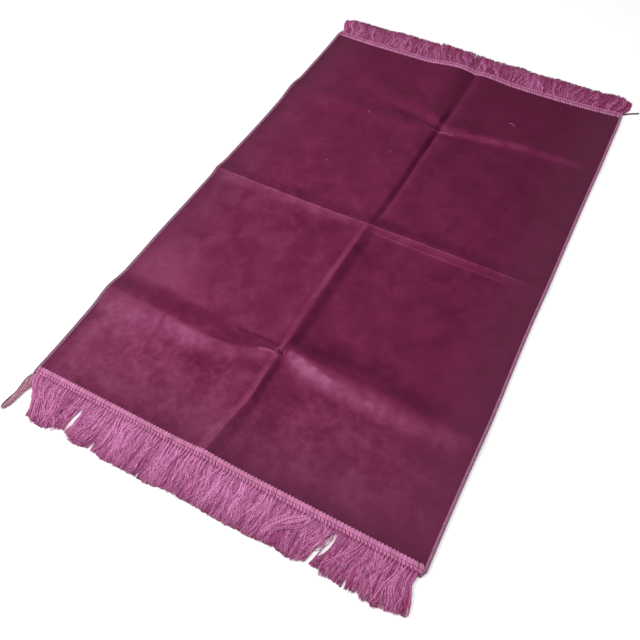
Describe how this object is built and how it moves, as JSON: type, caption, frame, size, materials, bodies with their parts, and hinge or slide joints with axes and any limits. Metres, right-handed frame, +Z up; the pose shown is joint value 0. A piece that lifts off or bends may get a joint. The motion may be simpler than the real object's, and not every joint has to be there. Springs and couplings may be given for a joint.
{
  "type": "prayer rug",
  "caption": "Rectangular velvet prayer rug lying flat, with soft fold creases, overlocked long edges and a braided heading with a cut yarn fringe at each end.",
  "frame": {"origin": "on the floor, under the middle of the box round the rug and its fringes, loose threads left out", "axes": "+X across the rug, +Y along its length towards the far fringe, +Z up"},
  "size_m": [0.7381, 1.2674, 0.0131],
  "materials": {
    "velvet": "plum velvet with a short dense pile, foam-backed, matt with a soft sheen",
    "fringe_yarn": "mauve-pink crinkled synthetic yarn, braided in the heading and cut loose in the fringe",
    "overlock_yarn": "mauve overlock stitching wrapped round the cloth's edge",
    "loose_thread": "greyish overlock thread chain"
  },
  "bodies": {
    "root": {"velvet_panel": "velvet", "edge_binding_left": "overlock_yarn", "edge_binding_right": "overlock_yarn", "fringe_trim_near": "fringe_yarn", "fringe_trim_far": "fringe_yarn", "thread_tail_near_left": "overlock_yarn", "thread_tail_far_right": "loose_thread"}
  },
  "joints": []
}
